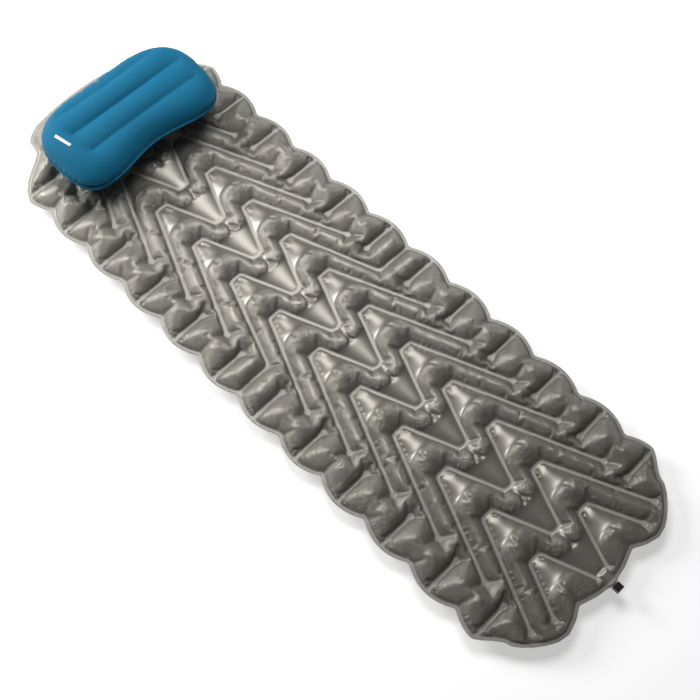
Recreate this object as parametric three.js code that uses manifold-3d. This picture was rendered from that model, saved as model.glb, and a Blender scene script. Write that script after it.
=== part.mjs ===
// Inflatable camping mattress with V-shaped welded chambers, and its loose inflatable pillow.
// Millimetres, +Z up, +Y towards the head, origin on the ground at the middle of the footprint.
// Each fabric panel is a thin closed shell. The two panels of a pair face each other across
// the plane in which they are welded together.
import * as THREE from 'three';
import { mergeVertices } from 'three/addons/utils/BufferGeometryUtils.js';
import Module from 'manifold-3d';

const wasm = await Module();
wasm.setup();

// ---- Driving dimensions ------------------------------------------------------------------

const PITCH = 137.5; // from one chevron to the next, along the mattress
const FABRIC = 1.2; // thickness that stands for the coated fabric
const GAP = 0.3; // clearance between pieces that touch
const THICKNESS = 64; // mattress, from the ground to its highest crest
const WELD_PLANE = THICKNESS / 2;
const PATTERN_SHIFT = -0.43; // from the ground origin to the weld pattern's own origin, in pitches

// The weld pattern, in pitches from its own origin.
const CHEVRON = { apex: 0.59, apexHalf: 0.11, tipHalf: 0.11, tipDrop: 0.93, legEnd: 1.45, legDrop: 1.72 };
const SIDE = { valley: 2.05, lobe: 0.17, valleyPhase: 0.33, barRow: 0.55 };
const CROSS_WELD_LINE = 2; // the chevron whose outer ends run on to both edges
const FIRST_ROW = -7;
const LAST_ROW = 9;
const FIRST_WELD = -6;
const LAST_WELD = 7;

// Half-height of the inflated chambers, as a share of the largest.
const RELIEF = { middle: 1, leg: 0.74, side: 0.9 };

const VALVE = {
  boatHalfWidth: 14, boatHalfHeight: 6.9, boatShoulder: 7.6, boatLength: 27,
  stemRadius: 6.5, boreRadius: 5.2, stemOut: 6,
  coreRadius: 4.7, coreBore: 3.1, coreIn: 18, coreOut: 13, flangeRadius: 6.3,
  pintleRadius: 2.2, capWidth: 19, capCorner: 4.5, capStart: 1.6, capEnd: 19.2,
  capBore: 5.35, skirtBore: 7, mouthRadius: 2.6, sealRadius: 0.7,
};

const PILLOW = {
  length: 470, frontDepth: 153, rearDepth: 159, height: 100, x: 11, y: 696,
  frontDip: 52, frontDipReach: 0.655, rearDip: 4, rearDipReach: 0.3,
};
// The three channels in which the pillow's panels are tied together, in its own plan frame.
const CHANNEL = { depth: 9, spacing: 55, middle: 31, start: -126, end: 167 };
const PILLOW_VALVE = { x: 120, inset: 21, tubeRadius: 6, tubeOut: 8, flangeRadius: 13, capRadius: 8.2 };

const ROUND = 20; // sides of a round piece

// ---- Shared geometry ---------------------------------------------------------------------

const clamp = (value, low, high) => Math.min(high, Math.max(low, value));
const mix = (a, b, t) => a + (b - a) * t;

// Straight-line interpolation through [position, value] pairs.
function along(points, at) {
  const last = points.length - 1;
  if (at <= points[0][0]) return points[0][1];
  if (at >= points[last][0]) return points[last][1];
  const i = points.findIndex(([position]) => position > at);
  const [[a, va], [b, vb]] = [points[i - 1], points[i]];
  return mix(va, vb, (at - a) / (b - a));
}

// A quarter circle's rise: 0 at the edge, 1 from `reach` inwards.
function shoulder(distance, reach) {
  const t = clamp(distance / reach, 0, 1);
  return Math.sqrt(1 - (1 - t) ** 2);
}

// A closed shell over a grid of plan points. Grid points that coincide are merged, so a grid
// can be drawn in to an outline. place(i, j) gives [x, y], and surface(x, y, i, j) gives the
// shell's lower z. The shell is `thickness` higher than that on its upper side.
function gridShell(columns, rows, place, surface, thickness) {
  const ids = new Map();
  const plan = [];
  const idAt = [];
  for (let i = 0; i < columns; i++) {
    for (let j = 0; j < rows; j++) {
      const [x, y] = place(i, j);
      const key = `${x.toFixed(2)},${y.toFixed(2)}`;
      if (!ids.has(key)) {
        ids.set(key, plan.length);
        plan.push([x, y, surface(x, y, i, j)]);
      }
      idAt.push(ids.get(key));
    }
  }
  const faces = [];
  const addFace = (a, b, c) => {
    if (a !== b && b !== c && c !== a) faces.push([a, b, c]);
  };
  for (let i = 0; i + 1 < columns; i++) {
    for (let j = 0; j + 1 < rows; j++) {
      const a = idAt[i * rows + j];
      const b = idAt[(i + 1) * rows + j];
      const c = idAt[(i + 1) * rows + j + 1];
      const d = idAt[i * rows + j + 1];
      addFace(a, b, c);
      addFace(a, c, d);
    }
  }
  const rim = new Map();
  for (const face of faces) {
    face.forEach((from, k) => {
      const to = face[(k + 1) % 3];
      if (!rim.delete(`${to}_${from}`)) rim.set(`${from}_${to}`, [from, to]);
    });
  }
  const count = plan.length;
  const positions = [
    ...plan.flatMap(([x, y, z]) => [x, y, z + thickness]),
    ...plan.flatMap(([x, y, z]) => [x, y, z]),
  ];
  const indices = [
    ...faces.flat(),
    ...faces.flatMap(([a, b, c]) => [c + count, b + count, a + count]),
    ...[...rim.values()].flatMap(([a, b]) => [a, a + count, b + count, a, b + count, b]),
  ];
  const geometry = new THREE.BufferGeometry();
  geometry.setAttribute('position', new THREE.Float32BufferAttribute(positions, 3));
  geometry.setIndex(indices);
  geometry.computeVertexNormals();
  return geometry;
}

function solidOf(geometry) {
  const bare = geometry.clone();
  bare.deleteAttribute('normal');
  bare.deleteAttribute('uv');
  const merged = mergeVertices(bare, 1e-4);
  return new wasm.Manifold(new wasm.Mesh({
    numProp: 3,
    vertProperties: new Float32Array(merged.attributes.position.array),
    triVerts: new Uint32Array(merged.index.array),
  }));
}

function geometryOf(solid) {
  const { vertProperties, triVerts } = solid.getMesh();
  const geometry = new THREE.BufferGeometry();
  geometry.setAttribute('position', new THREE.Float32BufferAttribute(vertProperties, 3));
  geometry.setIndex([...triVerts]);
  geometry.computeVertexNormals();
  return geometry;
}

const join = (first, ...others) => geometryOf(others.reduce((sum, g) => sum.add(solidOf(g)), solidOf(first)));
const cut = (first, ...others) => geometryOf(others.reduce((rest, g) => rest.subtract(solidOf(g)), solidOf(first)));

// A turned piece along +Z, from its closed profile of [radius, z] points.
function turned(profile, sides = ROUND) {
  const points = [...profile, profile[0]].map(([radius, z]) => new THREE.Vector2(radius, z));
  return new THREE.LatheGeometry(points, sides).rotateX(Math.PI / 2);
}

const cylinder = (radius, from, to, sides = ROUND) => turned([[0, from], [radius, from], [radius, to], [0, to]], sides);

function box(width, depth, height, x, y, z) {
  return new THREE.BoxGeometry(width, depth, height).translate(x, y, z);
}

// A seal ring about +Z, of round section.
const sealRing = (ringRadius, sectionRadius, z) => (
  new THREE.TorusGeometry(ringRadius, sectionRadius, 6, ROUND).rotateZ(Math.PI / 2).translate(0, 0, z)
);

// ---- Materials ---------------------------------------------------------------------------

const material = (color, roughness) => new THREE.MeshStandardMaterial({ color, roughness, metalness: 0 });
const greyFabric = material(0x7d7a73, 0.45);
const blueFabric = material(0x26739b, 0.8);
const paleRubber = material(0xa8a59c, 0.6);
const blackPlastic = material(0x161616, 0.4);
const greyPlastic = material(0x55554f, 0.45);
const sealRubber = material(0x222222, 0.8);

// ---- Mattress ----------------------------------------------------------------------------

// How far a chevron line lies from its apex row, by distance from the middle.
const chevronLine = [
  [0, -CHEVRON.tipDrop],
  [CHEVRON.tipHalf, -CHEVRON.tipDrop],
  [CHEVRON.apex - CHEVRON.apexHalf, 0],
  [CHEVRON.apex + CHEVRON.apexHalf, 0],
  [CHEVRON.legEnd, -CHEVRON.legDrop],
];

// The end edges across the middle, and the corners that lead to them, as [across, along].
const footEdge = [[0, -6.15], [0.35, -6.09], [0.65, -5.99], [1.1, -6.17], [1.45, -6.05]];
const headEdge = [[0, 7.15], [0.95, 7.13], [1.3, 6.95], [1.45, 6.83]];
const footCorner = [[-6.05, 1.45], [-5.95, 1.6], [-5.7, 1.85], [-5.55, 1.92], [-5.17, 2.2]];
const headCorner = [[5.74, 2.22], [6.15, 1.93], [6.42, 1.56], [6.83, 1.45]];

// Half the mattress's width: round lobes between notches, closing in to the corners.
function halfWidth(y) {
  if (y < footCorner.at(-1)[0]) return along(footCorner, y);
  if (y > headCorner[0][0]) return along(headCorner, y);
  const phase = (((y - SIDE.valleyPhase) % 1) + 1) % 1;
  return SIDE.valley + SIDE.lobe * Math.sin(Math.PI * phase);
}

// Columns out from the middle: plain distances up to the ends of the legs, then shares of
// what is left to the edge.
const innerColumns = [0, 0.055, 0.11, 0.48, 0.59, 0.7, 1.08, CHEVRON.legEnd];
const outerShares = [0.45, 1];
const rightColumns = [...innerColumns.slice(1).map((x) => ({ x })), ...outerShares.map((share) => ({ share }))];
const leftColumns = rightColumns.map((column) => ({ ...column, left: true })).reverse();
const columns = [...leftColumns, { x: 0 }, ...rightColumns];

// Rows along the mattress: each chevron line, then two rows on the chamber behind it. Beyond
// the legs the second of those two is a side bar's row.
const lineStep = { across: 0, beside: 0 };
const frontStep = { across: 0.34, beside: 0.27 };
const barStep = { across: 0.68, beside: SIDE.barRow };
const rowSteps = [lineStep, frontStep, barStep];
const rows = [];
for (let line = FIRST_ROW; line < LAST_ROW; line++) rows.push(...rowSteps.map((step) => ({ line, step })));

// The plan position of a grid point, in pitches.
function patternPoint(i, j) {
  const { x, share, left } = columns[i];
  const { line, step } = rows[j];
  const side = left ? -1 : 1;
  if (share === undefined) {
    const y = line + step.across + along(chevronLine, x);
    return [side * x, clamp(y, along(footEdge, x), along(headEdge, x))];
  }
  const y = line + step.beside - CHEVRON.legDrop;
  const inside = clamp(y, footCorner[0][0], headCorner.at(-1)[0]);
  return [side * mix(CHEVRON.legEnd, halfWidth(inside), share), inside];
}

const placeOnGround = (i, j) => {
  const [x, y] = patternPoint(i, j);
  return [x * PITCH, (y + PATTERN_SHIFT) * PITCH];
};

const chamberHeight = [[0.7, RELIEF.middle], [1, RELIEF.leg], [1.2, RELIEF.leg], [CHEVRON.legEnd, RELIEF.side]];

// How far a panel stands off the weld plane at a grid point, as a share of the full height.
function relief(i, j) {
  const [x, y] = patternPoint(i, j);
  const { line, step } = rows[j];
  const across = Math.abs(x);
  const isSide = columns[i].share !== undefined;
  const isBar = isSide && step === barStep;
  const isLine = step === lineStep && (isSide ? line === CROSS_WELD_LINE : line >= FIRST_WELD && line <= LAST_WELD);
  if (isBar || isLine) return 0;
  const sideRoom = halfWidth(y) - across;
  const endRoom = Math.min(y - along(footEdge, across), along(headEdge, across) - y);
  const room = isSide ? sideRoom : Math.min(sideRoom, endRoom);
  return along(chamberHeight, across) * shoulder(room, 0.3);
}

// The panels rise round the valve's boat, where it enters at the middle of the foot edge.
function boatRoom(x, y) {
  const foot = (footEdge[0][1] + PATTERN_SHIFT) * PITCH;
  const inward = y - foot;
  if (inward > VALVE.boatLength + 8) return 0;
  const height = VALVE.boatHalfHeight + GAP;
  return along([[VALVE.boatShoulder, height], [0.11 * PITCH, 0]], Math.abs(x));
}

const fullRise = WELD_PLANE - GAP / 2 - FABRIC;
const mattressRise = (x, y, i, j) => Math.max(relief(i, j) * fullRise, boatRoom(x, y));

const mattressTop = gridShell(
  columns.length, rows.length, placeOnGround,
  (x, y, i, j) => WELD_PLANE + GAP / 2 + mattressRise(x, y, i, j), FABRIC,
);

// The lower panel rests on flats, so its crests are pressed level with the ground.
const restingShare = 0.84;
const mattressBottom = gridShell(
  columns.length, rows.length, placeOnGround,
  (x, y, i, j) => {
    const pressed = Math.min(mattressRise(x, y, i, j), fullRise * restingShare) / restingShare;
    return WELD_PLANE - GAP / 2 - FABRIC - Math.max(pressed, 0);
  },
  FABRIC,
);

// ---- Mattress valve ----------------------------------------------------------------------

// The valve is drawn about +Z with z = 0 at the fabric's edge and its mouth at +Z. It then
// points out of the foot, along -Y, in the weld plane.
const valveFrame = new THREE.Group();
valveFrame.position.set(0, (footEdge[0][1] + PATTERN_SHIFT) * PITCH, WELD_PLANE);
valveFrame.rotation.x = Math.PI / 2;

function boatGeometry() {
  const { boatHalfWidth: w, boatHalfHeight: h, boatShoulder: s } = VALVE;
  const outline = new THREE.Shape();
  outline.moveTo(-w, 0);
  for (const [x, y] of [[-s + 0.4, -h + 0.2], [s - 0.4, -h + 0.2], [w, 0], [s - 0.4, h - 0.2], [-s + 0.4, h - 0.2]]) {
    outline.lineTo(x, y);
  }
  const boat = new THREE.ExtrudeGeometry(outline, { depth: VALVE.boatLength, bevelEnabled: false });
  return boat.translate(0, 0, -VALVE.boatLength);
}

const valveStem = cut(
  join(boatGeometry(), cylinder(VALVE.stemRadius, -VALVE.boatLength, VALVE.stemOut)),
  cylinder(VALVE.boreRadius, -VALVE.boatLength - 1, VALVE.stemOut + 1),
);

// A push-pull valve's core: a bored tube with two seal grooves and a stop flange, and a
// pintle on a cross bar that plugs the cap's mouth.
function coreGeometry({ radius, bore, start, end, pintleEnd, flange, grooves }) {
  const grooveHalf = 1.1;
  const grooveDepth = 1.25;
  const outside = grooves.flatMap((z) => [
    [radius, z - grooveHalf], [radius - grooveDepth, z - grooveHalf],
    [radius - grooveDepth, z + grooveHalf], [radius, z + grooveHalf],
  ]);
  const tube = turned([[bore, start], [radius, start], ...outside, [radius, end], [bore, end]]);
  const collar = turned([[radius - 0.5, flange.from], [flange.radius, flange.from],
    [flange.radius, flange.to], [radius - 0.5, flange.to]]);
  const bar = box(2 * bore + 0.3, 1.6, 3, 0, 0, end - 2);
  return join(tube, collar, bar, cylinder(VALVE.pintleRadius, end - 3, pintleEnd, 16));
}

const capSealZ = 10.2;
const coreSealZ = -3;
const valveCore = coreGeometry({
  radius: VALVE.coreRadius, bore: VALVE.coreBore, start: -VALVE.coreIn, end: VALVE.coreOut,
  pintleEnd: VALVE.capEnd - 0.6,
  flange: { from: VALVE.stemOut + GAP, to: VALVE.stemOut + 1.6, radius: VALVE.flangeRadius },
  grooves: [coreSealZ, capSealZ],
});

// The cap: a rounded square knob whose skirt covers the stem's end, with the mouth in its face.
function capGeometry() {
  const half = VALVE.capWidth / 2;
  const r = VALVE.capCorner;
  const outline = new THREE.Shape();
  const corners = [[1, -1, -90], [1, 1, 0], [-1, 1, 90], [-1, -1, 180]];
  for (const [sx, sy, from] of corners) {
    const start = THREE.MathUtils.degToRad(from);
    outline.absarc(sx * (half - r), sy * (half - r), r, start, start + Math.PI / 2, false);
  }
  const knob = new THREE.ExtrudeGeometry(outline, {
    depth: VALVE.capEnd - VALVE.capStart - 1.6, curveSegments: 5,
    bevelEnabled: true, bevelThickness: 0.8, bevelSize: 0.8, bevelOffset: -0.8, bevelSegments: 2,
  }).translate(0, 0, VALVE.capStart + 0.8);
  const innerFace = VALVE.capEnd - 3;
  return cut(
    knob,
    cylinder(VALVE.skirtBore, VALVE.capStart - 1, capSealZ - 2),
    cylinder(VALVE.capBore, capSealZ - 3, innerFace),
    cylinder(VALVE.mouthRadius, innerFace - 1, VALVE.capEnd + 1),
  );
}

const sealRingRadius = (radius) => radius - 0.45;

// ---- Pillow ------------------------------------------------------------------------------

const pillowFrame = new THREE.Group();
pillowFrame.position.set(PILLOW.x, PILLOW.y, THICKNESS + GAP + PILLOW.height / 2);

// The bean outline: front and rear edges by distance u (-1 to 1) along the pillow.
const beanEnd = (u) => (1 - Math.abs(u) ** 3.25) ** (1 / 2.77);
const dip = (u, depth, reach) => depth * Math.exp(-((u / reach) ** 2));
const beanFront = (u) => -PILLOW.frontDepth * beanEnd(u) + dip(u, PILLOW.frontDip, PILLOW.frontDipReach);
const beanRear = (u) => PILLOW.rearDepth * beanEnd(u) - dip(u, PILLOW.rearDip, PILLOW.rearDipReach);

const pillowU = [];
const pillowHalfSteps = 7;
for (let k = -pillowHalfSteps; k <= pillowHalfSteps; k++) {
  pillowU.push(Math.sin((k / pillowHalfSteps) * Math.PI / 2));
}
const pillowV = [0, 0.03, 0.12, 0.25, 0.37, 0.5, 0.63, 0.75, 0.88, 0.97, 1];
const channelV = [0.25, 0.5, 0.75];
const channelY = [-1, 0, 1].map((k) => CHANNEL.middle + k * CHANNEL.spacing);

// Rows run from the front edge (v = 0) to the rear edge (v = 1), and the channels' rows are
// straight along most of the pillow.
function pillowY(u, v) {
  const front = beanFront(u);
  const rear = beanRear(u);
  const straight = along([[0, front], [channelV[0], channelY[0]], [channelV[2], channelY[2]], [1, rear]], v);
  return mix(straight, mix(front, rear, v), u ** 4);
}

const pillowPlace = (i, j) => [pillowU[i] * PILLOW.length / 2, pillowY(pillowU[i], pillowV[j])];

const pillowCrown = (u, v) => (
  (1 - Math.abs(u) ** 3.2) ** 0.5 * (1 - Math.abs(2 * v - 1) ** 2.6) ** 0.5
  * (PILLOW.height / 2 - GAP / 2 - FABRIC)
);

function pillowRise(i, j) {
  const u = pillowU[i];
  const x = u * PILLOW.length / 2;
  const isGroove = channelV.includes(pillowV[j]) && x > CHANNEL.start && x < CHANNEL.end;
  return Math.max(0, pillowCrown(u, pillowV[j]) - (isGroove ? CHANNEL.depth : 0));
}

const pillowTop = gridShell(
  pillowU.length, pillowV.length, pillowPlace,
  (x, y, i, j) => GAP / 2 + pillowRise(i, j), FABRIC,
);
const pillowBottomWhole = gridShell(
  pillowU.length, pillowV.length, pillowPlace,
  (x, y, i, j) => -GAP / 2 - FABRIC - pillowRise(i, j), FABRIC,
);

// An internal web that ties the panels together along one channel.
function webGeometry(k) {
  const steps = 10;
  const clear = CHANNEL.depth + FABRIC + 2.2;
  const endClear = 7;
  const edge = [];
  for (let step = 0; step <= steps; step++) {
    const x = mix(CHANNEL.start + endClear, CHANNEL.end - endClear, step / steps);
    edge.push([x, pillowCrown(x / (PILLOW.length / 2), channelV[k]) - clear]);
  }
  const outline = new THREE.Shape();
  outline.moveTo(...edge[0]);
  edge.slice(1).forEach(([x, z]) => outline.lineTo(x, z));
  edge.reverse().forEach(([x, z]) => outline.lineTo(x, -z));
  const web = new THREE.ExtrudeGeometry(outline, { depth: FABRIC, bevelEnabled: false });
  return web.rotateX(Math.PI / 2).translate(0, channelY[k] + FABRIC / 2, 0);
}

// ---- Pillow valve ------------------------------------------------------------------------

// It leaves the pillow's lower panel near the rear edge, square to the fabric there.
const valveU = PILLOW_VALVE.x / (PILLOW.length / 2);
const valveY = beanRear(valveU) - PILLOW_VALVE.inset;
const vAt = (y) => mix(channelV[2], 1, (y - channelY[2]) / (beanRear(valveU) - channelY[2]));
const lowerZ = (y) => -GAP / 2 - FABRIC - pillowCrown(valveU, vAt(y));
const slopeReach = 12;
const slope = (lowerZ(valveY + slopeReach) - lowerZ(valveY - slopeReach)) / (2 * slopeReach);
const valveTilt = Math.PI - Math.atan(slope);

const pillowValveFrame = new THREE.Group();
pillowValveFrame.position.set(PILLOW_VALVE.x, valveY, lowerZ(valveY) - 2.5);
pillowValveFrame.rotation.x = -valveTilt;

const pillowValveMatrix = new THREE.Matrix4().compose(
  pillowValveFrame.position,
  new THREE.Quaternion().setFromEuler(pillowValveFrame.rotation),
  new THREE.Vector3(1, 1, 1),
);
const panelHole = cylinder(PILLOW_VALVE.tubeRadius + 1, -30, 30).applyMatrix4(pillowValveMatrix);
const pillowBottom = cut(pillowBottomWhole, panelHole);

const pillowValveEnd = PILLOW_VALVE.tubeOut;
const pillowCapEnd = pillowValveEnd + 5;
const pillowValveBody = coreGeometry({
  radius: PILLOW_VALVE.tubeRadius, bore: 4, start: -6, end: pillowValveEnd,
  pintleEnd: pillowCapEnd - 0.5,
  flange: { from: 0, to: 1.2, radius: PILLOW_VALVE.flangeRadius },
  grooves: [5],
});
const pillowValveCap = cut(
  turned([[0, 2.2], [PILLOW_VALVE.capRadius, 2.2], [PILLOW_VALVE.capRadius, pillowCapEnd - 0.8],
    [PILLOW_VALVE.capRadius - 0.8, pillowCapEnd], [0, pillowCapEnd]]),
  cylinder(PILLOW_VALVE.tubeRadius + 0.6, 1, pillowCapEnd - 2.2),
  cylinder(VALVE.mouthRadius, pillowCapEnd - 3, pillowCapEnd + 1),
);

// ---- Assembly ----------------------------------------------------------------------------

function addPiece(group, name, geometry, pieceMaterial) {
  const mesh = new THREE.Mesh(geometry, pieceMaterial);
  mesh.name = name;
  group.add(mesh);
}

const airMattress = new THREE.Group();
airMattress.add(valveFrame, pillowFrame);
pillowFrame.add(pillowValveFrame);

addPiece(airMattress, 'mattress_top_panel', mattressTop, greyFabric);
addPiece(airMattress, 'mattress_bottom_panel', mattressBottom, greyFabric);
addPiece(valveFrame, 'mattress_valve_stem', valveStem, paleRubber);
addPiece(valveFrame, 'mattress_valve_core', valveCore, greyPlastic);
addPiece(valveFrame, 'mattress_valve_core_seal',
  sealRing(sealRingRadius(VALVE.coreRadius), VALVE.sealRadius, coreSealZ), sealRubber);
addPiece(valveFrame, 'mattress_valve_cap_seal',
  sealRing(sealRingRadius(VALVE.coreRadius), VALVE.sealRadius, capSealZ), sealRubber);
addPiece(valveFrame, 'mattress_valve_cap', capGeometry(), blackPlastic);

addPiece(pillowFrame, 'pillow_top_panel', pillowTop, blueFabric);
addPiece(pillowFrame, 'pillow_bottom_panel', pillowBottom, blueFabric);
['front', 'middle', 'rear'].forEach((place, k) => {
  addPiece(pillowFrame, `pillow_web_${place}`, webGeometry(k), blueFabric);
});
addPiece(pillowValveFrame, 'pillow_valve_body', pillowValveBody, greyPlastic);
addPiece(pillowValveFrame, 'pillow_valve_seal',
  sealRing(sealRingRadius(PILLOW_VALVE.tubeRadius), VALVE.sealRadius, 5), sealRubber);
addPiece(pillowValveFrame, 'pillow_valve_cap', pillowValveCap, blackPlastic);

export default airMattress;
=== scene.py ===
"""An inflated sleeping mat with V-shaped welded chambers, and its small inflatable pillow.

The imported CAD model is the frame, in metres. The mat's and the pillow's panels are inflated
here: a flat sheet, cut larger than the plan it has to fill, is blown up over its weld lines.
"""

import math

import bpy
import numpy as np
from mathutils import Matrix, Vector


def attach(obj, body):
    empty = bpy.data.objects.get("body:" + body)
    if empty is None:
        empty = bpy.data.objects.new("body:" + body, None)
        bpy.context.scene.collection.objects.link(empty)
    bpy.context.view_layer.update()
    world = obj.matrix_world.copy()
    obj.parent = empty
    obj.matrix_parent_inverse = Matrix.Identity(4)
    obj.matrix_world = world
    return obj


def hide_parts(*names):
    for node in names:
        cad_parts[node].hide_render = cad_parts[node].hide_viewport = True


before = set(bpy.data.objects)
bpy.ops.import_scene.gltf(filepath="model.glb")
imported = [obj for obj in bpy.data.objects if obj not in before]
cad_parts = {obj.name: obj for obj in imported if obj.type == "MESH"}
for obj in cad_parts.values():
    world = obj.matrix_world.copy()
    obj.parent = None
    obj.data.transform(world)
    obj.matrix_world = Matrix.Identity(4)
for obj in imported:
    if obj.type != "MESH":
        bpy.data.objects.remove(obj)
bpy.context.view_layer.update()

REAL = np.float32
SEED = 3
START_NOISE = 0.05  # grid steps

# ---- Sizes, as in the CAD model ----------------------------------------------------------

PITCH = 0.1375  # from one chevron to the next, along the mat
PATTERN_SHIFT = -0.43  # from the ground origin to the weld pattern's own origin, in pitches
WELD_PLANE = 0.032
MAT_HALF_HEIGHT = 0.0316
SHEET_GAP = 0.0004  # from the weld plane to each sheet

# The weld pattern, in pitches. A chevron's right half runs from its middle tip over its apex
# to the end of its outer leg.
TIP = (0.0, -0.945)
TIP_CORNER = (0.105, -0.93)
APEX_INNER = (0.475, 0.0)
APEX_OUTER = (0.71, 0.0)
LEG_END = (1.44, -1.72)
LEG_RUN_ON = (1.9, -2.8)  # where a leg would lead, for finding the tubes
TIP_ROUND = 0.09
APEX_ROUND = 0.085
ARC_STEPS = 4
LINE_HALF = 0.024
DOT_RADIUS = 0.055
BAR_HALF = 0.028
BAR_PHASE = -0.17
BAR_START = 1.5
PAST_EDGE = 2.6  # lines that end in the edge band run on to here
FLANGE = 0.06
FIRST_CHEVRON = -5
LAST_CHEVRON = 6
CROSS_CHEVRON = 2  # its outer ends run on to both edges
CHEVRON_SPAN = (-2.9, 1.3)  # how far a chevron counts, from its apex row

# The outline, in pitches: side lobes between the drawn foot and head.
LOBE_WIDTH = 2.05
LOBE_DEPTH = 0.17
LOBE_POWER = 0.8
LOBE_PHASE = 0.33
LOBE_START = -5.1
LOBE_END = 5.72
LOBE_STEP = 0.07
FOOT_EDGE = [
    (0, -6.15), (0.35, -6.09), (0.65, -5.99), (0.85, -6.1), (1.1, -6.17), (1.3, -6.13),
    (1.45, -6.05), (1.62, -5.93), (1.78, -5.78), (1.87, -5.66), (1.9, -5.55), (2.0, -5.42),
    (2.14, -5.27), (2.21, -5.17),
]
HEAD_EDGE = [
    (2.22, 5.76), (2.13, 5.95), (1.97, 6.13), (1.78, 6.28), (1.6, 6.4), (1.48, 6.5),
    (1.44, 6.66), (1.42, 6.8), (1.3, 6.91), (1.1, 7.02), (0.92, 7.05), (0.65, 7.1),
    (0.3, 7.13), (0, 7.14),
]

# Short weld lines of the head, each from its start to the dot at its end.
HEAD_SHORT_LINES = (((1.05, 6.2), (1.46, 5.28)), ((0.0, 6.12), (0.32, 6.75)))

# The valve's boat between the panels, in metres. Each pair is where a slope starts and ends.
BOAT_HEIGHT = 0.0075
BOAT_SIDE = (0.0076, 0.0185)
BOAT_INNER_END = (0.03, 0.04)
BOAT_OUTER_END = (-0.004, 0.0)

# ---- The mat's cloth ---------------------------------------------------------------------

MAT_GRID = 0.0175  # pitches from one grid point to the next
MAT_X_RANGE = (-2.42, 2.42)
MAT_Y_RANGE = (-6.3, 7.25)
MAT_STEPS = 1500
MAT_CLOTH = {"pressure": 0.05, "rise": 0.16, "anchoring": 0.08, "bending": 0.007, "push_back": 0.35}
ACROSS_SPARE = 0.3  # how much longer than its plan a tube's cloth is, across and along it
ALONG_SPARE = 0.045
CHAMBER_BLUR = 6
FARTHEST_SEAM = 60  # grid steps from a weld, past which a chamber has no direction

# The taut planes, in pitches: a tube's width at a chevron's tip and apex, how far from the
# mat's middle one gives way to the other, and where the planes fade out.
TIP_TUBE_WIDTH = 0.32
APEX_TUBE_WIDTH = 0.43
TIP_TO_APEX = (0.2, 0.45)
PLANE_FADE = 0.06
PLANES_END = (1.0, 1.2)
PLANE_BLUR = 4
MAT_PRESSED = 0.9  # divides the lower panel's heights, and the ground levels what goes past it

# ---- Arrays ------------------------------------------------------------------------------


def ramp(value, low, high):
    """From 0 at low to 1 at high, smoothly."""
    share = np.clip((value - low) / (high - low), 0, 1)
    return share * share * (3 - 2 * share)


def blur(values, times):
    """Softens a grid of values."""
    for _ in range(times):
        padded = np.pad(values, 1, mode="edge")
        around = padded[:-2, 1:-1] + padded[2:, 1:-1] + padded[1:-1, :-2] + padded[1:-1, 2:]
        values = values * 0.5 + around * 0.125
    return values


# ---- Plan shapes as signed distances, negative inside ------------------------------------


def to_segment(x, y, start, end):
    """Distance from each point to a straight segment."""
    along = np.array(end, float) - start
    share = ((x - start[0]) * along[0] + (y - start[1]) * along[1]) / (along @ along)
    share = np.clip(share, 0, 1)
    return np.hypot(x - start[0] - share * along[0], y - start[1] - share * along[1])


def along_segment(x, y, start, end):
    """How far along a segment each point lies."""
    along = np.array(end, float) - start
    length = math.hypot(*along)
    share = ((x - start[0]) * along[0] + (y - start[1]) * along[1]) / length
    return np.clip(share, 0, length)


class Nearest:
    """Signed distance to the nearest of several lines and dots, and how far along it that is.

    Puckers run out from a line, so on a line's tight bends the run counts several times over.
    """

    BEND_LENGTH = 0.06  # a piece of line shorter than this is part of a bend
    BEND_SHARE = 5.0
    DOT_SHARE = 0.3
    REACH = 0.5  # how far past its own span a line is looked at
    FAR = 9.0  # where no line is near

    def __init__(self, x, y):
        self.x = x
        self.y = y
        self.distance = np.full(x.shape, self.FAR)
        self.run = np.zeros(x.shape)

    def take(self, near, distance, run):
        """Keeps a line's distance and run where it is the nearest so far."""
        closer = distance < self.distance[near]
        self.distance[near] = np.where(closer, distance, self.distance[near])
        self.run[near] = np.where(closer, run, self.run[near])

    def path(self, points, half_width):
        """Takes in a line along points, of some half width."""
        run = 0
        for start, end in zip(points[:-1], points[1:]):
            low = min(start[1], end[1]) - self.REACH
            high = max(start[1], end[1]) + self.REACH
            near = (self.y > low) & (self.y < high)
            x, y = self.x[near], self.y[near]
            length = math.dist(start, end)
            share = self.BEND_SHARE if length < self.BEND_LENGTH else 1
            distance = to_segment(x, y, start, end) - half_width
            self.take(near, distance, run + share * along_segment(x, y, start, end))
            run += share * length

    def dot(self, centre, radius):
        """Takes in a round dot."""
        near = np.abs(self.y - centre[1]) < self.REACH
        x, y = self.x[near] - centre[0], self.y[near] - centre[1]
        self.take(near, np.hypot(x, y) - radius, np.arctan2(y, x) * self.DOT_SHARE)


def inside_polygon(x, y, corners):
    """True for the points that a closed polygon holds."""
    inside = np.zeros(x.shape, bool)
    for (x1, y1), (x2, y2) in zip(corners, np.roll(corners, -1, axis=0)):
        if y1 == y2:
            continue
        crosses = (y1 > y) != (y2 > y)
        inside ^= crosses & (x < x1 + (y - y1) / (y2 - y1) * (x2 - x1))
    return inside


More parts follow.
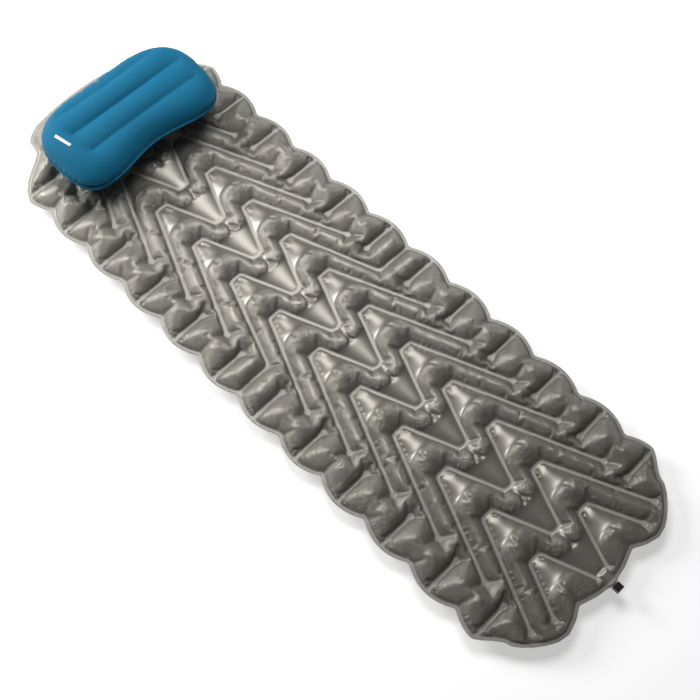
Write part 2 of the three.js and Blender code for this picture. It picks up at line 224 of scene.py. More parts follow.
def round_corner(corner, before, after, radius):
    """Points of an arc that rounds a corner of a path."""
    corner, before, after = (np.array(p, float) for p in (corner, before, after))
    back = (before - corner) / np.linalg.norm(before - corner)
    ahead = (after - corner) / np.linalg.norm(after - corner)
    half = math.acos(back @ ahead) / 2
    start = corner + back * radius / math.tan(half)
    end = corner + ahead * radius / math.tan(half)
    middle = (back + ahead) / np.linalg.norm(back + ahead)
    centre = corner + middle * radius / math.sin(half)
    first = math.atan2(*(start - centre)[::-1])
    turn = (math.atan2(*(end - centre)[::-1]) - first + math.pi) % (2 * math.pi) - math.pi
    angles = [first + turn * step / ARC_STEPS for step in range(ARC_STEPS + 1)]
    return [tuple(centre + radius * np.array([math.cos(a), math.sin(a)])) for a in angles]


def chevron_path():
    """A chevron's right half, with its apex row at y = 0."""
    path = [TIP]
    path += round_corner(TIP_CORNER, TIP, APEX_INNER, TIP_ROUND)
    path += round_corner(APEX_INNER, TIP_CORNER, APEX_OUTER, APEX_ROUND)
    path += round_corner(APEX_OUTER, APEX_INNER, LEG_END, APEX_ROUND)
    return path + [LEG_END]


def chevron_at(row):
    """The path of one chevron, with the ends that the first, second and cross chevrons have."""
    path = [(x, y + row) for x, y in chevron_path()]
    if row == FIRST_CHEVRON:
        return [(0, -5.9), (0.13, -5.9)] + [p for p in path[4:-1] if p[1] > -5.8] + [(1.1, -5.86)]
    if row == FIRST_CHEVRON + 1:
        return path[:-1] + [(1.5, -5.74)]
    if row == CROSS_CHEVRON:
        edge = row + LOBE_PHASE - 2
        return path[:-1] + [(1.31, edge + 0.07), (1.36, edge + 0.01), (PAST_EDGE, edge)]
    return path


def mat_welds(x, y):
    """The mat's weld lines, dots and side bars."""
    welds = Nearest(np.abs(x), y)
    for row in range(FIRST_CHEVRON, LAST_CHEVRON + 1):
        path = chevron_at(row)
        welds.path(path, LINE_HALF)
        if row != CROSS_CHEVRON:
            welds.dot(path[-1], DOT_RADIUS)
        bar = row + BAR_PHASE
        welds.path([(BAR_START, bar), (PAST_EDGE, bar)], BAR_HALF)
        welds.dot((BAR_START, bar), DOT_RADIUS)
    for start, end in HEAD_SHORT_LINES:
        welds.path([start, end], LINE_HALF)
        welds.dot(end, DOT_RADIUS)
    return welds


def to_second_chevron(x, y):
    """Distance to the second nearest chevron."""
    first = np.full(x.shape, Nearest.FAR)
    second = np.full(x.shape, Nearest.FAR)
    side = np.abs(x)
    for row in range(FIRST_CHEVRON - 1, LAST_CHEVRON + 3):
        path = [(px, py + row) for px, py in chevron_path() + [LEG_RUN_ON]]
        near = (y > row + CHEVRON_SPAN[0]) & (y < row + CHEVRON_SPAN[1])
        distance = np.full(np.count_nonzero(near), Nearest.FAR)
        for start, end in zip(path[:-1], path[1:]):
            distance = np.minimum(distance, to_segment(side[near], y[near], start, end))
        nearest = first[near]
        second[near] = np.where(distance < nearest, nearest, np.minimum(second[near], distance))
        first[near] = np.minimum(nearest, distance)
    return second


def mat_outline():
    """The right half of the mat's outline, from the foot's middle to the head's."""
    lobes = []
    for y in np.arange(LOBE_START, LOBE_END, LOBE_STEP):
        phase = (y - LOBE_PHASE) % 1
        lobes.append((LOBE_WIDTH + LOBE_DEPTH * math.sin(math.pi * phase) ** LOBE_POWER, y))
    return np.array(FOOT_EDGE + lobes + HEAD_EDGE, float)


def mat_edge(x, y):
    """The mat's outline, with its inside negative."""
    half = mat_outline()
    edge = Nearest(np.abs(x), y)
    edge.path(half, 0)
    whole = np.vstack([half, half[::-1] * [-1, 1]])
    edge.distance = np.where(inside_polygon(x, y, whole), -edge.distance, edge.distance)
    return edge


# ---- Inflating a sheet -------------------------------------------------------------------


class FlatSheet:
    """A square grid over a plan, some of it welded down, with the size of the cloth over it.

    Lengths are in grid steps. Grid points near the outline or a weld's edge are moved onto it.
    """

    EDGE_PULL = 0.5  # how near a grid point is moved onto the outline, or onto a weld's edge
    WELD_PULL = 0.36

    def __init__(self, step, x_range, y_range, outline, seams, flange):
        columns = np.arange(x_range[0], x_range[1] + step / 2, step)
        rows = np.arange(y_range[0], y_range[1] + step / 2, step)
        x, y = np.meshgrid(columns, rows)
        outer = outline(x, y)
        edge = outer.distance
        welds = seams(x, y)
        inner = -(edge + flange)
        seam = np.minimum(welds.distance, inner)
        self.run = np.where(welds.distance < inner, welds.run, outer.run)
        for distance, reach in ((edge, self.EDGE_PULL), (seam, self.WELD_PULL)):
            slope_y, slope_x = np.gradient(distance, step)
            steepness = np.hypot(slope_x, slope_y) + 1e-6
            near = np.abs(distance) < reach * step
            move = np.where(near, distance, 0) / steepness
            x = x - move * slope_x
            y = y - move * slope_y
            distance[near] = 0
        self.step = step
        self.first = (columns[0] / step, rows[0] / step)
        self.x = (x / step).astype(REAL)
        self.y = (y / step).astype(REAL)
        self.seam = (seam / step).astype(REAL)
        self.kept = edge <= 0
        self.held = (seam <= 0) & self.kept
        self.ceiling = None

    def spare(self, square_x, square_y, skew=0.0):
        """Sets how much cloth there is over the plan.

        square_x and square_y are the squared lengths of cloth over a unit of plan along x and
        y, and skew is their mixed term. A welded point has as much cloth as plan.
        """
        self.size_xx = np.where(self.held, 1, square_x).astype(REAL)
        self.size_yy = np.where(self.held, 1, square_y).astype(REAL)
        self.size_xy = np.where(self.held, 0, skew).astype(REAL)

    def spare_by_chamber(self, across, along):
        """Sets how much longer the cloth is, across and along the chamber it is in."""
        slope_y, slope_x = np.gradient(np.minimum(self.seam, FARTHEST_SEAM))
        parts = (slope_x**2, slope_y**2, slope_x * slope_y)
        across_x, across_y, skew = (blur(part, CHAMBER_BLUR) for part in parts)
        more = (across**2 - along**2) / (across_x + across_y + 1e-6)
        self.spare(along**2 + more * across_x, along**2 + more * across_y, more * skew)

    def link(self, down, right, stiffness):
        """The springs that join each grid point to a neighbour."""
        rows, columns = self.x.shape
        first = (slice(0, rows - down), slice(max(0, -right), columns - max(0, right)))
        second = (slice(down, rows), slice(max(0, right), columns - max(0, -right)))
        wide = self.x[second] - self.x[first]
        long = self.y[second] - self.y[first]
        sizes = (self.size_xx, self.size_yy, self.size_xy)
        xx, yy, xy = ((size[first] + size[second]) / 2 for size in sizes)
        rest = np.sqrt(xx * wide * wide + yy * long * long + 2 * xy * wide * long)
        live = self.kept[first] & self.kept[second]
        every = (slice(None),)
        return every + first, every + second, rest, live * REAL(stiffness)


def inflate(sheet, steps, pressure, rise, anchoring, bending, push_back):
    """Blows a sheet up over its welds, as springs, bending and pressure, and gives its points.

    rise is the height it starts from, anchoring how strongly the welds are drawn to their
    plan, bending its stiffness against folds, and push_back how much of its pulling
    stiffness the cloth has against being squeezed.
    """
    random = np.random.default_rng(SEED)
    start_rise = np.clip(sheet.seam, 0, rise / sheet.step)
    points = np.stack([sheet.x, sheet.y, start_rise]).astype(REAL)
    points += random.normal(0, START_NOISE, points.shape).astype(REAL)
    speed = np.zeros_like(points)
    anchors = np.stack([sheet.x, sheet.y])[:, sheet.held]
    links = [sheet.link(1, 0, 1), sheet.link(0, 1, 1)]
    links += [sheet.link(1, 1, 0.5), sheet.link(1, -1, 0.5)]
    kept = sheet.kept
    bend_x = (kept[:, 2:] & kept[:, 1:-1] & kept[:, :-2]) * REAL(bending)
    bend_y = (kept[2:] & kept[1:-1] & kept[:-2]) * REAL(bending)
    blown = (kept & ~sheet.held)[1:-1, 1:-1] * REAL(pressure * sheet.step / 4)
    time_step = REAL(0.5)
    damping = REAL(0.985)
    for _ in range(steps):
        force = np.zeros_like(points)
        for first, second, rest, stiffness in links:
            gap = points[second] - points[first]
            length = np.sqrt(gap[0] * gap[0] + gap[1] * gap[1] + gap[2] * gap[2]) + REAL(1e-6)
            strain = 1 - rest / length
            gap *= np.where(strain < 0, strain * REAL(push_back), strain) * stiffness
            force[first] += gap
            force[second] -= gap
        curve = (points[:, :, 2:] - 2 * points[:, :, 1:-1] + points[:, :, :-2]) * bend_x
        force[:, :, 1:-1] += 2 * curve
        force[:, :, 2:] -= curve
        force[:, :, :-2] -= curve
        curve = (points[:, 2:] - 2 * points[:, 1:-1] + points[:, :-2]) * bend_y
        force[:, 1:-1] += 2 * curve
        force[:, 2:] -= curve
        force[:, :-2] -= curve
        u = points[:, 1:-1, 2:] - points[:, 1:-1, :-2]
        v = points[:, 2:, 1:-1] - points[:, :-2, 1:-1]
        force[0, 1:-1, 1:-1] += blown * (u[1] * v[2] - u[2] * v[1])
        force[1, 1:-1, 1:-1] += blown * (u[2] * v[0] - u[0] * v[2])
        force[2, 1:-1, 1:-1] += blown * (u[0] * v[1] - u[1] * v[0])
        force[:2, sheet.held] += REAL(anchoring) * (anchors - points[:2, sheet.held])
        speed = (speed + force * time_step) * damping * kept
        points += speed * time_step
        points[2][sheet.held] = 0
        np.maximum(points[2], 0, out=points[2])
        if sheet.ceiling is not None:
            np.minimum(points[2], sheet.ceiling, out=points[2])
    return points * sheet.step


# ---- Meshes ------------------------------------------------------------------------------

PEAK_SHARE = 0.9995
SEAM_RANGE = (-0.02, 0.06)
WELD_FADE = (-0.0008, 0.0012)
RIM_SMOOTHING = 3


def sheet_faces(kept):
    """Quads where a grid cell's four points are kept, and triangles where three are."""
    number = np.arange(kept.size).reshape(kept.shape)
    corners = [number[:-1, :-1], number[:-1, 1:], number[1:, 1:], number[1:, :-1]]
    has = [kept[:-1, :-1], kept[:-1, 1:], kept[1:, 1:], kept[1:, :-1]]
    full = has[0] & has[1] & has[2] & has[3]
    quads = np.stack([c[full] for c in corners], 1)
    triangles = []
    for missing in range(4):
        others = [k for k in range(4) if k != missing]
        three = ~has[missing] & has[others[0]] & has[others[1]] & has[others[2]]
        triangles.append(np.stack([corners[k][three] for k in others], 1))
    return quads, np.vstack(triangles)


def rim_edges(quads, triangles):
    """The directed edges that only one face has."""
    edges = [np.stack([f, np.roll(f, -1, axis=1)], 2).reshape(-1, 2) for f in (quads, triangles)]
    edges = np.vstack(edges)
    size = int(edges.max()) + 1
    forward = edges[:, 0] * size + edges[:, 1]
    backward = edges[:, 1] * size + edges[:, 0]
    return edges[~np.isin(forward, backward)]


def smooth_rim(points, rim, times):
    """Evens out the steps that a grid leaves along its cut edge."""
    following = {int(a): int(b) for a, b in rim}
    order = [int(rim[0, 0])]
    while following[order[-1]] != order[0]:
        order.append(following[order[-1]])
    loop = points[:, order]
    for _ in range(times):
        loop = loop * 0.5 + (np.roll(loop, 1, 1) + np.roll(loop, -1, 1)) * 0.25
    points[:, order] = loop
    return points


def mesh_object(name, vertices, faces, values):
    """A smooth mesh from an array of points, a list of face arrays, and named point values."""
    mesh = bpy.data.meshes.new(name)
    used = np.unique(np.concatenate([f.ravel() for f in faces]))
    renumber = np.zeros(len(vertices), int)
    renumber[used] = np.arange(len(used))
    mesh.vertices.add(len(used))
    mesh.vertices.foreach_set("co", vertices[used].astype(REAL).ravel())
    loops = np.concatenate([renumber[f].ravel() for f in faces])
    sizes = np.concatenate([np.full(len(f), f.shape[1]) for f in faces])
    mesh.loops.add(len(loops))
    mesh.loops.foreach_set("vertex_index", loops.astype(np.int32))
    mesh.polygons.add(len(sizes))
    starts = np.concatenate([[0], np.cumsum(sizes)[:-1]])
    mesh.polygons.foreach_set("loop_start", starts.astype(np.int32))
    mesh.update(calc_edges=True)
    mesh.shade_smooth()
    for key, value in values.items():
        if value.ndim == 1:
            mesh.attributes.new(key, "FLOAT", "POINT")
            mesh.attributes[key].data.foreach_set("value", value[used].astype(REAL))
        else:
            layer = mesh.uv_layers.new(name=key)
            layer.uv.foreach_set("vector", value[used][loops].astype(REAL).ravel())
    mesh.validate()
    piece = bpy.data.objects.new(name, mesh)
    bpy.context.scene.collection.objects.link(piece)
    return piece


def panel(name, sheet, points, place, up, marks):
    """One blown-up panel, with a strip along its cut edge down to the weld plane.

    place turns plan points and a height above the weld plane into metres.
    """
    rows, columns = sheet.x.shape
    quads, triangles = sheet_faces(sheet.kept)
    rim = rim_edges(quads, triangles)
    flat = smooth_rim(points.reshape(3, -1).copy(), rim, RIM_SMOOTHING)
    vertices = place(flat[0], flat[1], up * (flat[2] + SHEET_GAP))
    edge = place(flat[0], flat[1], flat[2] * 0)
    count = rows * columns
    strip = np.stack([rim[:, 1], rim[:, 0], rim[:, 0] + count, rim[:, 1] + count], 1)
    faces = [quads, triangles, strip]
    if up < 0:
        faces = [f[:, ::-1] for f in faces]
    cloth = place(sheet.x.ravel() * sheet.step, sheet.y.ravel() * sheet.step, flat[2])[:, :2]
    values = {"cloth": np.vstack([cloth, cloth])}
    for key, value in marks.items():
        values[key] = np.concatenate([value.ravel(), value.ravel()])
    return mesh_object(name, np.vstack([vertices, edge]), faces, values)


def fit_height(height, kept, half_height):
    """Scales heights so that all but the sharpest peaks fill a half height."""
    return height * (half_height / np.quantile(height[kept], PEAK_SHARE))


def panel_marks(sheet, scale):
    """Point values for the cloth's material, with the seam's distance in metres."""
    seam = np.clip(sheet.seam * scale, *SEAM_RANGE)
    return {"weld": 1 - ramp(seam, *WELD_FADE), "seam": seam, "run": sheet.run}


# ---- The mat -----------------------------------------------------------------------------


def on_ground(x, y, z):
    """From the weld pattern's pitches to metres. z is in metres above the weld plane."""
    return np.stack([x * PITCH, (y + PATTERN_SHIFT) * PITCH, z + WELD_PLANE], -1)


def boat_height(x, y):
    """How far each panel stands off for the valve's boat between them."""
    foot = (FOOT_EDGE[0][1] + PATTERN_SHIFT) * PITCH
    inward = y - foot
    width = 1 - ramp(np.abs(x), *BOAT_SIDE)
    return BOAT_HEIGHT * width * (1 - ramp(inward, *BOAT_INNER_END)) * ramp(inward, *BOAT_OUTER_END)


def taut_share(x, y):
    """1 in the taut planes inside each V and inverted V, and 0 in the tubes."""
    side = np.abs(x)
    width = TIP_TUBE_WIDTH + (APEX_TUBE_WIDTH - TIP_TUBE_WIDTH) * ramp(side, *TIP_TO_APEX)
    plane = ramp(to_second_chevron(x, y), width, width + PLANE_FADE)
    return plane * (1 - ramp(side, *PLANES_END))


def build_mat():
    """The mat's two panels, each blown up from the weld plane."""
    step = MAT_GRID
    steps = MAT_STEPS
    sheet = FlatSheet(step, MAT_X_RANGE, MAT_Y_RANGE, mat_edge, mat_welds, FLANGE)
    plane = taut_share(sheet.x * step, sheet.y * step)
    sheet.spare_by_chamber(1 + ACROSS_SPARE * (1 - plane), 1 + ALONG_SPARE * (1 - plane))
    x, y, z = inflate(sheet, steps, **MAT_CLOTH)
    height = fit_height(np.clip(z * PITCH, 0, None), sheet.kept, MAT_HALF_HEIGHT)
    height = np.minimum(height, MAT_HALF_HEIGHT)
    pressed = np.minimum(height / MAT_PRESSED, MAT_HALF_HEIGHT)
    ground = on_ground(x, y, height)
    boat = boat_height(ground[..., 0], ground[..., 1])
    marks = panel_marks(sheet, step * PITCH)
    marks["taut"] = blur(plane, PLANE_BLUR)
    upper = np.stack([x, y, np.maximum(height, boat)])
    lower = np.stack([x, y, np.maximum(pressed, boat)])
    top = panel("mat_top", sheet, upper, on_ground, 1, marks)
    bottom = panel("mat_bottom", sheet, lower, on_ground, -1, marks)
    return top, bottom


# ---- The pillow --------------------------------------------------------------------------

PILLOW_CENTRE = Vector((0.011, 0.696, 0.1143))
PILLOW_HALF_LENGTH = 0.229  # to the rim weld
PILLOW_FRONT = 0.147
PILLOW_REAR = 0.153
PILLOW_HALF_HEIGHT = 0.05
CHANNEL_MIDDLE = 0.031
CHANNEL_SPACING = 0.055
CHANNEL_START = -0.126
CHANNEL_END = 0.167
CHANNEL_HEIGHT = 0.045
MARK_CENTRE = (-0.157, 0.028)
MARK_SIZE = (0.006, 0.04)
MARK_TURN = math.radians(8)
MARK_COLUMNS = 7
MARK_ROWS = 41
MARK_RISE = 2.5 * SHEET_GAP  # the panel itself is one gap up
PILLOW_FLANGE = 0.005

# The outline: a squared oval with a dip in its front and a slight one in its rear. A dip has
# its depth in metres and its width as a share of the half length.
OVAL_POWERS = (3.25, 2.77)
FRONT_DIP = (0.052, 0.655)
REAR_DIP = (0.004, 0.3)
OUTLINE_POINTS = 61

PILLOW_GRID = 0.0028
PILLOW_X_RANGE = (-0.24, 0.24)
PILLOW_Y_RANGE = (-0.165, 0.168)
PILLOW_STEPS = 2500
PILLOW_CLOTH = {"pressure": 2.0, "rise": 0.03, "anchoring": 0.2, "bending": 0.01, "push_back": 0.3}
PILLOW_LENGTHWISE = 1.17  # the cloth's size over its plan's
PILLOW_CROSSWISE = 1.2
DIP_LESS = 0.13  # how much less lengthwise cloth there is at the front dip
DIP_DEPTH = (-0.01, 0.05)  # over these distances to the front it sets in
DIP_SIDE = (0.1, 0.17)  # and over these to each side it ends
TIE_HALF = 0.6  # half of a channel's tied width, in grid steps
UNTIED_HEIGHT = 1000  # grid steps, above all cloth
PILLOW_PRESSED = 1.1  # multiplies the lower panel's heights, up to the half height


def bean_half(u):
    """Half of the squared oval's width, at u from -1 to 1 along it."""
    return (1 - np.abs(u) ** OVAL_POWERS[0]) ** (1 / OVAL_POWERS[1])


def dip(u, depth, width):
    """A soft dip in the middle of one side."""
    return depth * np.exp(-((u / width) ** 2))


def bean_outline():
    """The pillow's closed outline, in metres about its centre."""
    u = np.sin(np.linspace(-1, 1, OUTLINE_POINTS) * math.pi / 2)
    front = -PILLOW_FRONT * bean_half(u) + dip(u, *FRONT_DIP)
    rear = PILLOW_REAR * bean_half(u) - dip(u, *REAR_DIP)
    lower = np.stack([u * PILLOW_HALF_LENGTH, front], 1)
    upper = np.stack([u * PILLOW_HALF_LENGTH, rear], 1)[::-1]
    return np.vstack([lower, upper[1:-1]])


def pillow_edge(x, y):
    """The pillow's outline, with its inside negative."""
    corners = bean_outline()
    edge = Nearest(x, y)
    edge.path(np.vstack([corners, corners[:1]]), 0)
    edge.distance = np.where(inside_polygon(x, y, corners), -edge.distance, edge.distance)
    return edge


def channel_distance(x, y):
    """Distance to the nearest of the three channels."""
    channels = Nearest(x, y)
    for k in (-1, 0, 1):
        row = CHANNEL_MIDDLE + k * CHANNEL_SPACING
        channels.path([(CHANNEL_START, row), (CHANNEL_END, row)], 0)
    return channels.distance


def on_mat(x, y, z):
    """From the pillow's plan to the ground's frame, all in metres."""
    return np.stack([x + PILLOW_CENTRE.x, y + PILLOW_CENTRE.y, z + PILLOW_CENTRE.z], -1)


def place_on_sheet(x, y, step, sheet, points):
    """Points of the blown-up sheet that lie over grid places, by their four neighbours."""
    column = (x / step - sheet.first[0]).ravel()
    row = (y / step - sheet.first[1]).ravel()
    left, low = np.floor(column).astype(int), np.floor(row).astype(int)
    u, v = column - left, row - low
    lower = points[:, low, left] * (1 - u) * (1 - v) + points[:, low, left + 1] * u * (1 - v)
    upper = points[:, low + 1, left] * (1 - u) * v + points[:, low + 1, left + 1] * u * v
    return lower + upper


def build_mark(step, sheet, points):
    """A plain printed bar on the pillow's top, as a thin film that follows the cloth."""
    across, along = np.meshgrid(np.linspace(-1, 1, MARK_COLUMNS), np.linspace(-1, 1, MARK_ROWS))
    across = across * MARK_SIZE[0] / 2
    along = along * MARK_SIZE[1] / 2
    x = MARK_CENTRE[0] + across * math.cos(MARK_TURN) - along * math.sin(MARK_TURN)
    y = MARK_CENTRE[1] + across * math.sin(MARK_TURN) + along * math.cos(MARK_TURN)
    spot = place_on_sheet(x, y, step, sheet, points)
    vertices = on_mat(spot[0], spot[1], spot[2] + MARK_RISE)
    number = np.arange(across.size).reshape(across.shape)
    corners = [number[:-1, :-1], number[:-1, 1:], number[1:, 1:], number[1:, :-1]]
    faces = np.stack([c.ravel() for c in corners], 1)
    mark = mesh_object("pillow_mark", vertices, [faces], {})
    mark.data.materials.append(moulded("white_print", (0.8, 0.82, 0.82), 0.5))
    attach(mark, "pillow")


def build_pillow():
    """The pillow's two panels, blown up between their rim weld and the three channels."""
    step = PILLOW_GRID
    sheet = FlatSheet(step, PILLOW_X_RANGE, PILLOW_Y_RANGE, pillow_edge, Nearest, PILLOW_FLANGE)
    x, y = sheet.x * step, sheet.y * step
    front_dip = ramp(-y, *DIP_DEPTH) * (1 - ramp(np.abs(x), *DIP_SIDE))
    sheet.spare((PILLOW_LENGTHWISE - DIP_LESS * front_dip) ** 2, PILLOW_CROSSWISE**2)
    tied = channel_distance(x, y) < TIE_HALF * step
    sheet.ceiling = np.where(tied, CHANNEL_HEIGHT / step, UNTIED_HEIGHT).astype(REAL)
    x, y, z = inflate(sheet, PILLOW_STEPS, **PILLOW_CLOTH)
    height = fit_height(z, sheet.kept, PILLOW_HALF_HEIGHT)
    height = np.minimum(height, PILLOW_HALF_HEIGHT - SHEET_GAP)
    pressed = np.minimum(height * PILLOW_PRESSED, PILLOW_HALF_HEIGHT - SHEET_GAP)
    marks = panel_marks(sheet, step)
    upper = np.stack([x, y, height])
    lower = np.stack([x, y, pressed])
    top = panel("pillow_top", sheet, upper, on_mat, 1, marks)
    build_mark(step, sheet, upper)
    bottom = panel("pillow_bottom", sheet, lower, on_mat, -1, marks)
    return top, bottom


# ---- Camera, light and floor -------------------------------------------------------------

CAMERA_TARGET = Vector((-0.01763, -0.11347, WELD_PLANE))
CAMERA_AZIMUTH = math.radians(-46.95)
CAMERA_ELEVATION = math.radians(64.53)
CAMERA_ROLL = math.radians(2.65)
CAMERA_DISTANCE = 2.6348
CAMERA_LENS = 57.64
FLOOR_HALF = 6


def add_camera():
    """The camera, turned round its target by azimuth, elevation and roll."""
    a, e, roll = CAMERA_AZIMUTH, CAMERA_ELEVATION, CAMERA_ROLL
    back = Vector((math.sin(a) * math.cos(e), -math.cos(a) * math.cos(e), math.sin(e)))
    right = Vector((math.cos(a), math.sin(a), 0))
    up = back.cross(right)
    turned_right = right * math.cos(roll) + up * math.sin(roll)
    turned_up = up * math.cos(roll) - right * math.sin(roll)
    data = bpy.data.cameras.new("camera")
    data.lens = CAMERA_LENS
    data.clip_end = 20
    camera = bpy.data.objects.new("camera", data)
    bpy.context.scene.collection.objects.link(camera)
    turn = Matrix((turned_right, turned_up, back)).transposed().to_4x4()
    camera.matrix_world = Matrix.Translation(CAMERA_TARGET + back * CAMERA_DISTANCE) @ turn
    bpy.context.scene.camera = camera


def add_light(name, place, size, power):
    """A soft rectangular light that faces the origin."""
    data = bpy.data.lights.new(name, "AREA")
    data.shape = "RECTANGLE"
    data.size = size[0]
    data.size_y = size[1]
    data.energy = power
    light = bpy.data.objects.new(name, data)
    light.location = place
    light.rotation_euler = Vector(place).to_track_quat("Z", "Y").to_euler()
    bpy.context.scene.collection.objects.link(light)


def add_world():
    """An even, weak light from all round."""
    world = bpy.data.worlds.new("studio")
    world.use_nodes = True
    background = world.node_tree.nodes["Background"]
    background.inputs["Color"].default_value = (1, 1, 1, 1)
    background.inputs["Strength"].default_value = 0.12
    bpy.context.scene.world = world
    bpy.context.scene.view_settings.view_transform = "Standard"


def add_floor():
    """A plain white floor."""
    mesh = bpy.data.meshes.new("floor")
    corners = [(x * FLOOR_HALF, y * FLOOR_HALF, 0) for x, y in ((-1, -1), (1, -1), (1, 1), (-1, 1))]
    mesh.from_pydata(corners, [], [(0, 1, 2, 3)])
    floor = bpy.data.objects.new("floor", mesh)
    bpy.context.scene.collection.objects.link(floor)
    material = bpy.data.materials.new("floor")
    material.use_nodes = True
    shader = material.node_tree.nodes["Principled BSDF"]
    shader.inputs["Base Color"].default_value = (0.93, 0.93, 0.93, 1)
    shader.inputs["Emission Color"].default_value = (1, 1, 1, 1)
    shader.inputs["Emission Strength"].default_value = 0.42
    shader.inputs["Roughness"].default_value = 0.9
    shader.inputs["Specular IOR Level"].default_value = 0.1
    mesh.materials.append(material)


# ---- Materials ---------------------------------------------------------------------------


class Material:
    """A procedural material, with short calls for its nodes."""

    def __init__(self, name, **shader):
        self.data = bpy.data.materials.new(name)
        self.data.use_nodes = True
        self.tree = self.data.node_tree
        self.shader = self.tree.nodes["Principled BSDF"]
        for key, value in shader.items():
            self.shader.inputs[key].default_value = value

    def node(self, kind, inputs=None, **settings):
        """A node with its inputs set to values or linked to sockets."""
        node = self.tree.nodes.new(kind)
        for key, value in settings.items():
            setattr(node, key, value)
        for key, value in (inputs or {}).items():
            if isinstance(value, bpy.types.NodeSocket):
                self.tree.links.new(value, node.inputs[key])
            else:
                node.inputs[key].default_value = value
        return node

    def set(self, key, socket):
        """Links one of the shader's inputs."""
        self.tree.links.new(socket, self.shader.inputs[key])

    def attribute(self, name):
        """One of the mesh's point values."""
        return self.node("ShaderNodeAttribute", attribute_name=name).outputs["Fac"]

    def math(self, operation, first, second):
        """A calculation with two values, each a socket or a number."""
        node = self.node("ShaderNodeMath", operation=operation)
        for socket, value in zip(node.inputs, (first, second)):
            if isinstance(value, bpy.types.NodeSocket):
                self.tree.links.new(value, socket)
            else:
                socket.default_value = value
        return node.outputs[0]

    def mix(self, factor, first, second):
        """Mixes two colours, each a socket or three numbers."""
        node = self.node("ShaderNodeMix", data_type="RGBA")
        self.tree.links.new(factor, node.inputs[0])
        for socket, value in ((node.inputs[6], first), (node.inputs[7], second)):
            if isinstance(value, bpy.types.NodeSocket):
                self.tree.links.new(value, socket)
            else:
                socket.default_value = (*value, 1)
        return node.outputs[2]

    def scaled(self, socket, low, high, to_low=0.0, to_high=1.0):
        """A value's range turned into another, held at its ends."""
        inputs = {"Value": socket, "From Min": low, "From Max": high}
        inputs |= {"To Min": to_low, "To Max": to_high}
        node = self.node("ShaderNodeMapRange", inputs, interpolation_type="SMOOTHSTEP")
        return node.outputs["Result"]

    def noise(self, scale, detail, **more):
        """A noise value over the object, or over another place if one is given."""
        inputs = {"Scale": scale, "Detail": detail} | more
        return self.node("ShaderNodeTexNoise", inputs).outputs["Fac"]

    def roughness(self, cloud, low, high):
        """Roughness that varies evenly with a noise."""
        inputs = {"Value": cloud, "To Min": low, "To Max": high}
        self.set("Roughness", self.node("ShaderNodeMapRange", inputs).outputs["Result"])

    def bumps(self, coarse, coarse_depth, fine, fine_depth, fine_strength):
        """A coarse bump with a fine one over it, each with its depth in metres."""
        inputs = {"Height": coarse, "Distance": coarse_depth, "Strength": 1.0}
        first = self.node("ShaderNodeBump", inputs).outputs["Normal"]
        inputs = {"Height": fine, "Distance": fine_depth, "Strength": fine_strength, "Normal": first}
        self.set("Normal", self.node("ShaderNodeBump", inputs).outputs["Normal"])

    def puckers(self, seam, run, per_run, per_seam, reach):
        """Short folds that run out from a weld, strongest close to it, in patches."""
        place = self.node(
            "ShaderNodeCombineXYZ",
            {"X": self.math("MULTIPLY", run, per_run), "Y": self.math("MULTIPLY", seam, per_seam)},
        )
        folds = self.noise(1.0, 2.0, Vector=place.outputs["Vector"])
        patches = self.noise(14.0, 2.0)
        strong = self.scaled(patches, 0.42, 0.62, 0.15, 1.0)
        rise = self.scaled(seam, 0.0005, 0.005)
        fade = self.scaled(seam, 0.006, reach, 1.0, 0.0)
        size = self.math("MULTIPLY", self.math("MULTIPLY", rise, fade), strong)
        centred = self.math("SUBTRACT", folds, 0.5)
        return self.math("MULTIPLY", size, centred)

    def weave(self, layer, threads):
        """The height of a plain weave, over a mesh's cloth coordinates in metres."""
        place = self.node("ShaderNodeUVMap", uv_map=layer).outputs["UV"]
        waves = []
        for direction in ("X", "Y"):
            inputs = {"Vector": place, "Scale": threads / 20.0}
            wave = self.node("ShaderNodeTexWave", inputs, bands_direction=direction)
            waves.append(wave.outputs["Fac"])
        return self.math("MAXIMUM", *waves)


def mat_fabric():
    """Coated nylon: satin, with fine puckers that run out from the welds, and paler welds."""
    material = Material("mat_fabric")
    weld = material.attribute("weld")
    cloud = material.noise(6.0, 4.0)
    tone = material.mix(cloud, (0.225, 0.214, 0.188), (0.27, 0.257, 0.228))
    material.set("Base Color", material.mix(weld, tone, (0.36, 0.346, 0.31)))
    material.roughness(cloud, 0.33, 0.41)
    material.set("Metallic", material.scaled(weld, 0.0, 1.0, 0.62, 0.1))
    seam = material.attribute("seam")
    puckers = material.puckers(seam, material.attribute("run"), 19.0, 9.0, 0.02)
    crinkle = material.math("SUBTRACT", material.noise(38.0, 3.0, Distortion=1.5), 0.5)
    folds = material.math("ADD", puckers, material.math("MULTIPLY", crinkle, 0.3))
    loose = material.math("SUBTRACT", 1.0, material.attribute("taut"))
    folds = material.math("MULTIPLY", folds, loose)
    material.bumps(folds, 0.006, material.weave("cloth", 2500), 0.0001, 0.3)
    return material.data


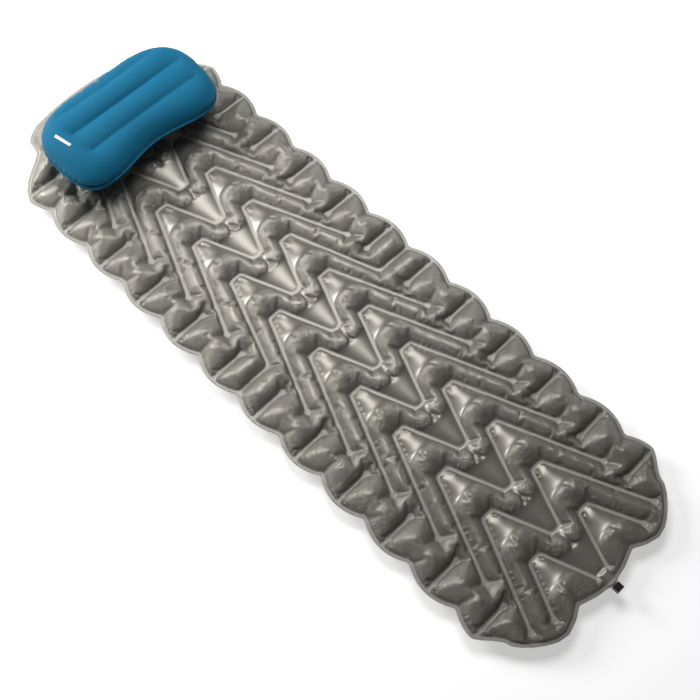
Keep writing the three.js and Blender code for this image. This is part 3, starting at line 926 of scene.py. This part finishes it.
def pillow_fabric():
    """Brushed woven polyester, matt, over an air bladder."""
    settings = {"Sheen Weight": 0.04, "Sheen Roughness": 0.5, "Specular IOR Level": 0.18}
    material = Material("pillow_fabric", Roughness=0.75, **settings)
    tone = material.mix(material.noise(9.0, 5.0), (0.0005, 0.112, 0.215), (0.002, 0.132, 0.25))
    material.set("Base Color", tone)
    seam = material.attribute("seam")
    puckers = material.puckers(seam, material.attribute("run"), 100.0, 30.0, 0.024)
    material.bumps(puckers, 0.007, material.weave("cloth", 1500), 0.0002, 0.5)
    return material.data


def moulded(name, colour, roughness):
    """Moulded plastic or rubber, with a fine grain and slightly uneven gloss."""
    material = Material(name)
    cloud = material.noise(60.0, 3.0)
    darker = tuple(c * 0.88 for c in colour)
    material.set("Base Color", material.mix(cloud, darker, colour))
    material.roughness(cloud, roughness - 0.05, roughness + 0.05)
    grain = {"Height": material.noise(900.0, 3.0), "Distance": 0.0001, "Strength": 0.4}
    material.set("Normal", material.node("ShaderNodeBump", grain).outputs["Normal"])
    return material.data


# ---- The scene ---------------------------------------------------------------------------

add_camera()
add_world()
add_light("overhead", (0.8, 0.9, 2.3), (1.6, 1.1), 40)
add_light("head", (-0.8, 2.6, 1.5), (1.4, 1.0), 76)
add_floor()

mat_cloth = mat_fabric()
pillow_cloth = pillow_fabric()
panels = (
    (build_mat(), "mattress", mat_cloth, "grey_fabric", 0.85),
    (build_pillow(), "pillow", pillow_cloth, "blue_fabric", 0.8),
)
for pair, body, cloth, slot, fill in panels:
    for piece, side in zip(pair, ("top", "bottom")):
        piece.data.materials.append(cloth)
        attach(piece, body)
        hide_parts(f"{body}_{side}_panel")

finishes = {
    "mattress_valve_stem": moulded("pale_rubber", (0.4, 0.385, 0.35), 0.55),
    "mattress_valve_core": moulded("grey_plastic", (0.09, 0.09, 0.08), 0.4),
    "mattress_valve_cap": moulded("black_plastic", (0.012, 0.012, 0.012), 0.35),
    "mattress_valve_core_seal": moulded("seal_rubber", (0.018, 0.018, 0.018), 0.7),
}
finishes["mattress_valve_cap_seal"] = finishes["mattress_valve_core_seal"]
finishes["pillow_valve_seal"] = finishes["mattress_valve_core_seal"]
finishes["pillow_valve_body"] = finishes["mattress_valve_core"]
finishes["pillow_valve_cap"] = finishes["mattress_valve_cap"]
for web in ("front", "middle", "rear"):
    finishes[f"pillow_web_{web}"] = pillow_cloth
for node, finish in finishes.items():
    for material_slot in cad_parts[node].material_slots:
        material_slot.material = finish
